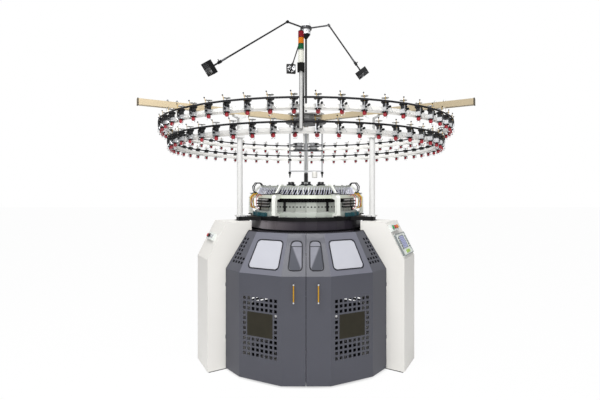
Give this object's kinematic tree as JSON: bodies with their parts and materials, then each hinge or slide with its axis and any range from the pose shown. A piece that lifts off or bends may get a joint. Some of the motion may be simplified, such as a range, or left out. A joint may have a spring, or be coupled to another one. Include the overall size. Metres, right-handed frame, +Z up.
{
  "type": "industrial knitting machine",
  "caption": "Circular knitting machine with slate door skirt, white legs, rings of yarn feeders, dial and cylinder head, signal tower and rotating lint fans",
  "frame": {"origin": "on the floor on the axis of the needle cylinder", "axes": "+Z up, -Y towards the operator at the front doors, +X to the operator's right"},
  "size_m": [2.7466, 2.978, 3.162],
  "materials": {
    "cast_frame": "painted dark grey casting",
    "leg_paint": "off-white satin paint on sheet",
    "slate_paint": "slate grey satin paint on sheet",
    "dark_paint": "near-black satin paint",
    "pane_plastic": "smoked clear sheet",
    "brass": "polished",
    "white_paint": "white satin paint",
    "cam_steel": "ground",
    "cast_steel": "machined casting",
    "ring_aluminium": "satin",
    "arm_paint": "tan satin extrusion",
    "feeder_body": "dark moulded",
    "feeder_pulley": "grey moulded",
    "feeder_drum": "red and steel",
    "belt_rubber": "toothed belt",
    "roller_rubber": "grooved covering",
    "lamp_plastic": "stacked coloured lenses",
    "fan_plastic": "black moulded",
    "motor_paint": "grey-blue satin paint",
    "control_plastic": "light grey moulded",
    "red_button": "moulded",
    "green_button": "moulded",
    "black_button": "moulded",
    "amber_button": "moulded"
  },
  "bodies": {
    "frame": {"base_frame": "cast_frame", "leg_cover_left": "leg_paint", "leg_cover_right": "leg_paint", "leg_cover_rear": "leg_paint", "bed_plate": "cast_frame", "skirt_ring": "dark_paint", "ring_posts": "white_paint", "post_clamps": "ring_aluminium", "ring_arms": "arm_paint", "arm_hub": "ring_aluminium", "upper_ring": "ring_aluminium", "lower_ring": "ring_aluminium", "yarn_rails": "ring_aluminium", "feeder_bodies": "feeder_body", "feeder_pulleys": "feeder_pulley", "feeder_drums": "feeder_drum", "feeder_belts": "belt_rubber", "belt_drive_frame": "ring_aluminium", "cam_base_ring": "cam_steel", "cam_boxes": "cam_steel", "cam_cover_ring": "dark_paint", "guide_ring": "cam_steel", "ring_brackets": "white_paint", "yarn_guides": "cam_steel", "dial_cap": "cast_steel", "signal_pole": "dark_paint", "signal_tower": "lamp_plastic", "fan_mast": "dark_paint", "rear_guards": "slate_paint", "guard_panes": "pane_plastic", "button_boxes": "control_plastic", "control_panel": "control_plastic", "drive_motor": "motor_paint"},
    "cylinder": {"needle_cylinder": "cam_steel", "take_down_frame": "cast_steel"},
    "dial": {"dial": "cam_steel"},
    "take_down_roller": {"take_down_roller": "cam_steel"},
    "press_roller": {"press_roller": "roller_rubber"},
    "cloth_bar": {"cloth_bar": "cam_steel"},
    "drive_shaft": {"drive_shaft": "cam_steel"},
    "left_door": {"left_door": "slate_paint", "left_door_panes": "pane_plastic", "left_door_handle": "brass"},
    "right_door": {"right_door": "slate_paint", "right_door_panes": "pane_plastic", "right_door_handle": "brass"},
    "drive_pulley_left": {"drive_pulley_left": "ring_aluminium"},
    "drive_pulley_right": {"drive_pulley_right": "ring_aluminium"},
    "fan_hub": {"fan_hub": "dark_paint"},
    "fan_arm_left": {"fan_arm_left": "dark_paint"},
    "fan_rotor_left": {"fan_rotor_left": "fan_plastic"},
    "fan_arm_right": {"fan_arm_right": "dark_paint"},
    "fan_rotor_right": {"fan_rotor_right": "fan_plastic"},
    "fan_arm_rear": {"fan_arm_rear": "dark_paint"},
    "fan_rotor_rear": {"fan_rotor_rear": "fan_plastic"},
    "left_stop_button": {"left_stop_button": "red_button"},
    "left_start_button": {"left_start_button": "black_button"},
    "right_start_button": {"right_start_button": "green_button"},
    "right_stop_button": {"right_stop_button": "red_button"},
    "right_jog_button": {"right_jog_button": "amber_button"}
  },
  "joints": [
    {"name": "cylinder_spin", "type": "hinge", "parent": "frame", "child": "cylinder", "pos_m": [0, 0, 1.22], "axis": [0, 0, 1], "continuous": true},
    {"name": "dial_spin", "type": "hinge", "parent": "frame", "child": "dial", "pos_m": [0, 0, 1.438], "axis": [0, 0, 1], "continuous": true},
    {"name": "pinion_spin", "type": "hinge", "parent": "frame", "child": "drive_shaft", "pos_m": [0, 0.465, 1.15], "axis": [0, 0, 1], "continuous": true},
    {"name": "drive_pulley_left_spin", "type": "hinge", "parent": "frame", "child": "drive_pulley_left", "pos_m": [-0.074, 0, 1.937], "axis": [0, 0, 1], "continuous": true},
    {"name": "drive_pulley_right_spin", "type": "hinge", "parent": "frame", "child": "drive_pulley_right", "pos_m": [0.074, 0, 1.937], "axis": [0, 0, 1], "continuous": true},
    {"name": "take_down_roller_spin", "type": "hinge", "parent": "cylinder", "child": "take_down_roller", "pos_m": [0, 0.036, 0.81], "axis": [1, 0, 0], "continuous": true},
    {"name": "press_roller_spin", "type": "hinge", "parent": "cylinder", "child": "press_roller", "pos_m": [0, -0.036, 0.81], "axis": [1, 0, 0], "continuous": true},
    {"name": "cloth_bar_spin", "type": "hinge", "parent": "cylinder", "child": "cloth_bar", "pos_m": [0, 0, 0.48], "axis": [1, 0, 0], "continuous": true},
    {"name": "left_door_hinge", "type": "hinge", "parent": "frame", "child": "left_door", "pos_m": [-0.67566, -0.57715, 0.48], "axis": [0, 0, -1], "range_deg": [0, 95]},
    {"name": "right_door_hinge", "type": "hinge", "parent": "frame", "child": "right_door", "pos_m": [0.67566, -0.57715, 0.48], "axis": [0, 0, 1], "range_deg": [0, 95]},
    {"name": "fan_head_spin", "type": "hinge", "parent": "frame", "child": "fan_hub", "pos_m": [0, 0, 3.1], "axis": [0, 0, 1], "continuous": true},
    {"name": "fan_arm_left_elbow", "type": "hinge", "parent": "fan_hub", "child": "fan_arm_left", "pos_m": [-0.17736, -0.15417, 3.111], "axis": [0.6561, -0.7547, 0], "range_deg": [-25, 10]},
    {"name": "fan_left_spin", "type": "hinge", "parent": "fan_arm_left", "child": "fan_rotor_left", "pos_m": [-0.78549, -0.69077, 2.5], "axis": [-0.6028, -0.524, -0.6017], "continuous": true},
    {"name": "fan_arm_right_elbow", "type": "hinge", "parent": "fan_hub", "child": "fan_arm_right", "pos_m": [0.2222, -0.07651, 3.111], "axis": [0.3256, 0.9455, 0], "range_deg": [-30, 15]},
    {"name": "fan_right_spin", "type": "hinge", "parent": "fan_arm_right", "child": "fan_rotor_right", "pos_m": [0.53144, -0.17664, 2.616], "axis": [0.5189, -0.1787, -0.8359], "continuous": true},
    {"name": "fan_arm_rear_elbow", "type": "hinge", "parent": "fan_hub", "child": "fan_arm_rear", "pos_m": [-0.04484, 0.23068, 3.111], "axis": [-0.9816, -0.1908, 0], "range_deg": [-10, 40]},
    {"name": "fan_rear_spin", "type": "hinge", "parent": "fan_arm_rear", "child": "fan_rotor_rear", "pos_m": [-0.1843, 0.91668, 2.999], "axis": [-0.1884, 0.9693, -0.158], "continuous": true},
    {"name": "left_stop_button_press", "type": "slide", "parent": "frame", "child": "left_stop_button", "axis": [0.7695, 0.4443, -0.4589], "range_m": [0, 0.004], "stiffness_N_per_m": 300, "springref_m": -0.004},
    {"name": "left_start_button_press", "type": "slide", "parent": "frame", "child": "left_start_button", "axis": [0.7695, 0.4443, -0.4589], "range_m": [0, 0.004], "stiffness_N_per_m": 300, "springref_m": -0.004},
    {"name": "right_start_button_press", "type": "slide", "parent": "frame", "child": "right_start_button", "axis": [-0.7695, 0.4443, -0.4589], "range_m": [0, 0.004], "stiffness_N_per_m": 300, "springref_m": -0.004},
    {"name": "right_stop_button_press", "type": "slide", "parent": "frame", "child": "right_stop_button", "axis": [-0.7695, 0.4443, -0.4589], "range_m": [0, 0.004], "stiffness_N_per_m": 300, "springref_m": -0.004},
    {"name": "right_jog_button_press", "type": "slide", "parent": "frame", "child": "right_jog_button", "axis": [-0.7695, 0.4443, -0.4589], "range_m": [0, 0.004], "stiffness_N_per_m": 300, "springref_m": -0.004}
  ],
  "couplings": [
    {"joint": "dial_spin", "follows": "cylinder_spin", "ratio": 1},
    {"joint": "pinion_spin", "follows": "cylinder_spin", "ratio": -9.396},
    {"joint": "drive_pulley_left_spin", "follows": "cylinder_spin", "ratio": 0.3333},
    {"joint": "drive_pulley_right_spin", "follows": "cylinder_spin", "ratio": 0.3333},
    {"joint": "press_roller_spin", "follows": "take_down_roller_spin", "ratio": -1}
  ]
}
